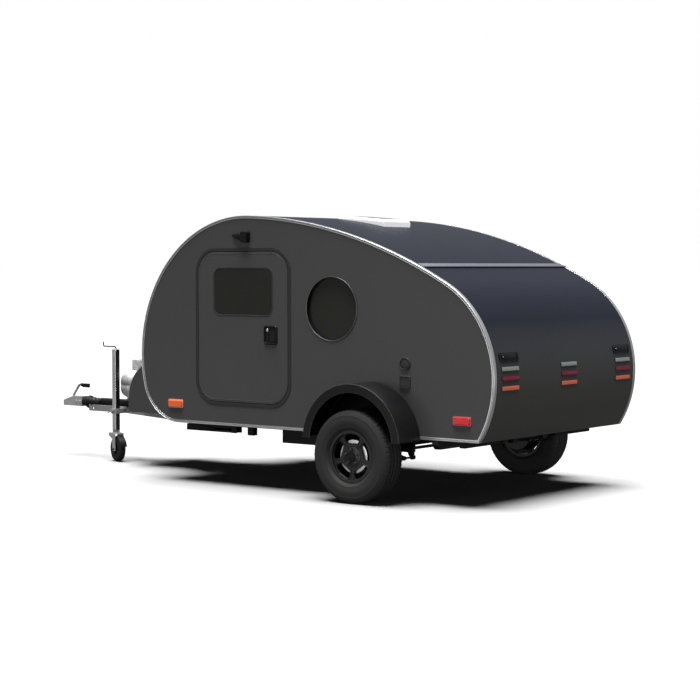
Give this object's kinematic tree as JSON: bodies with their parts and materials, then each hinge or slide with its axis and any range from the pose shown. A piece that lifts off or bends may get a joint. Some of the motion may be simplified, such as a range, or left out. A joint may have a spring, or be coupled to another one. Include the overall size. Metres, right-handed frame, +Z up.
{
  "type": "teardrop camping trailer",
  "caption": "Teardrop camping trailer on two road wheels and a jockey wheel, with side doors, rear galley hatch, front locker and overrun coupling.",
  "frame": {"origin": "on the ground, in the middle of the trailer's length and width", "axes": "+X forward to the coupling, +Y left, +Z up"},
  "size_m": [5.3066, 2.536, 2.1155],
  "materials": {
    "wall_laminate": "satin anthracite laminate",
    "roof_laminate": "smooth anthracite sheet with a slight gloss",
    "plywood": "clear lacquered birch plywood",
    "trim_aluminium": "satin anodised",
    "tinted_glass": "dark tinted acrylic pane",
    "black_plastic": "moulded black plastic",
    "lamp_lens": "clear, red and amber lenses",
    "fender_plastic": "black moulded fender",
    "grey_plastic": "grey moulding",
    "white_plastic": "white moulding",
    "black_steel": "black painted steel",
    "galvanised": "hot-dip galvanised, spangled",
    "frame_aluminium": "anthracite coated aluminium",
    "locker_sheet": "anthracite coated sheet",
    "rubber": "folded black rubber",
    "solid_rubber": "solid black rubber on a grey hub",
    "tyre": "road tyre",
    "alloy": "black painted cast alloy",
    "drum_iron": "zinc coated brake drum"
  },
  "bodies": {
    "trailer": {"bottle_tray": "galvanised", "coupling_bellows": "rubber", "coupling_bracket": "galvanised", "coupling_head": "galvanised", "coupling_lever": "galvanised", "cross_members": "black_steel", "door_frames": "frame_aluminium", "drawbar_left": "galvanised", "drawbar_right": "galvanised", "edge_trims": "trim_aluminium", "fender_left": "fender_plastic", "fender_right": "fender_plastic", "floor_panel": "plywood", "galley_bulkhead": "plywood", "galley_counter": "plywood", "gas_bottle": "galvanised", "hatch_hinge": "trim_aluminium", "jack_clamp": "galvanised", "locker_body": "locker_sheet", "main_rails": "black_steel", "nose_panel": "roof_laminate", "overrun_tube": "black_steel", "porch_lights": "lamp_lens", "roof_panel": "roof_laminate", "roof_vent_frame": "grey_plastic", "round_window_panes": "tinted_glass", "round_window_rims": "black_plastic", "service_inlets": "black_plastic", "shock_absorbers": "black_steel", "side_markers": "lamp_lens", "side_panel_left": "wall_laminate", "side_panel_right": "wall_laminate", "steady_brackets": "black_steel", "suspension_rails": "black_steel", "trailing_arms": "black_steel"},
    "rear_hatch": {"rear_hatch": "roof_laminate", "tail_lamps": "lamp_lens", "hatch_latches": "black_plastic"},
    "door_left": {"door_left": "wall_laminate", "door_window_left": "tinted_glass", "door_handle_left": "black_plastic"},
    "door_right": {"door_right": "wall_laminate", "door_window_right": "tinted_glass", "door_handle_right": "black_plastic"},
    "wheel_left": {"tyre_left": "tyre", "rim_left": "alloy", "brake_drum_left": "drum_iron"},
    "wheel_right": {"tyre_right": "tyre", "rim_right": "alloy", "brake_drum_right": "drum_iron"},
    "roof_vent_lid": {"roof_vent_lid": "white_plastic"},
    "locker_lid": {"locker_lid": "locker_sheet"},
    "jack_tube": {"jack_tube": "galvanised"},
    "jack_leg": {"jack_leg": "galvanised"},
    "jockey_fork": {"jockey_fork": "galvanised"},
    "jockey_wheel": {"jockey_wheel": "solid_rubber"},
    "steady_front_left": {"steady_front_left": "black_steel"},
    "steady_front_right": {"steady_front_right": "black_steel"},
    "steady_rear_left": {"steady_rear_left": "black_steel"},
    "steady_rear_right": {"steady_rear_right": "black_steel"}
  },
  "joints": [
    {"name": "hatch_hinge", "type": "hinge", "parent": "trailer", "child": "rear_hatch", "pos_m": [-2.025, 0, 1.70834], "axis": [0, 1, 0], "range_deg": [0, 78]},
    {"name": "door_hinge_left", "type": "hinge", "parent": "trailer", "child": "door_left", "pos_m": [0.114, 1.006, 1.248], "axis": [0, 0, -1], "range_deg": [0, 95]},
    {"name": "door_hinge_right", "type": "hinge", "parent": "trailer", "child": "door_right", "pos_m": [0.114, -1.006, 1.248], "axis": [0, 0, 1], "range_deg": [0, 95]},
    {"name": "wheel_spin_left", "type": "hinge", "parent": "trailer", "child": "wheel_left", "pos_m": [-1.567, 1.155, 0.34], "axis": [0, 1, 0], "continuous": true},
    {"name": "wheel_spin_right", "type": "hinge", "parent": "trailer", "child": "wheel_right", "pos_m": [-1.567, -1.155, 0.34], "axis": [0, 1, 0], "continuous": true},
    {"name": "vent_lid_hinge", "type": "hinge", "parent": "trailer", "child": "roof_vent_lid", "pos_m": [-0.62915, 0, 2.09162], "axis": [0, 1, 0], "range_deg": [0, 70]},
    {"name": "locker_lid_hinge", "type": "hinge", "parent": "trailer", "child": "locker_lid", "pos_m": [0.783, 0, 0.91], "axis": [0, -1, 0], "range_deg": [0, 60]},
    {"name": "jack_clamp_slide", "type": "slide", "parent": "trailer", "child": "jack_tube", "axis": [0, 0, 1], "range_m": [0, 0.14]},
    {"name": "jack_screw_slide", "type": "slide", "parent": "jack_tube", "child": "jack_leg", "axis": [0, 0, 1], "range_m": [-0.15, 0.02]},
    {"name": "jockey_swivel", "type": "hinge", "parent": "jack_leg", "child": "jockey_fork", "pos_m": [1.829, 0.2, 0.25], "axis": [0, 0, 1], "continuous": true},
    {"name": "jockey_spin", "type": "hinge", "parent": "jockey_fork", "child": "jockey_wheel", "pos_m": [1.79705, 0.21163, 0.11], "axis": [0.342, 0.9397, 0], "continuous": true},
    {"name": "steady_front_left_hinge", "type": "hinge", "parent": "trailer", "child": "steady_front_left", "pos_m": [-0.217, 0.935, 0.4407], "axis": [0, 1, 0], "range_deg": [0, 57]},
    {"name": "steady_front_right_hinge", "type": "hinge", "parent": "trailer", "child": "steady_front_right", "pos_m": [-0.217, -0.935, 0.4407], "axis": [0, 1, 0], "range_deg": [0, 57]},
    {"name": "steady_rear_left_hinge", "type": "hinge", "parent": "trailer", "child": "steady_rear_left", "pos_m": [-2.287, 0.37, 0.4407], "axis": [-1, 0, 0], "range_deg": [0, 57]},
    {"name": "steady_rear_right_hinge", "type": "hinge", "parent": "trailer", "child": "steady_rear_right", "pos_m": [-2.287, -0.37, 0.4407], "axis": [1, 0, 0], "range_deg": [0, 57]}
  ]
}
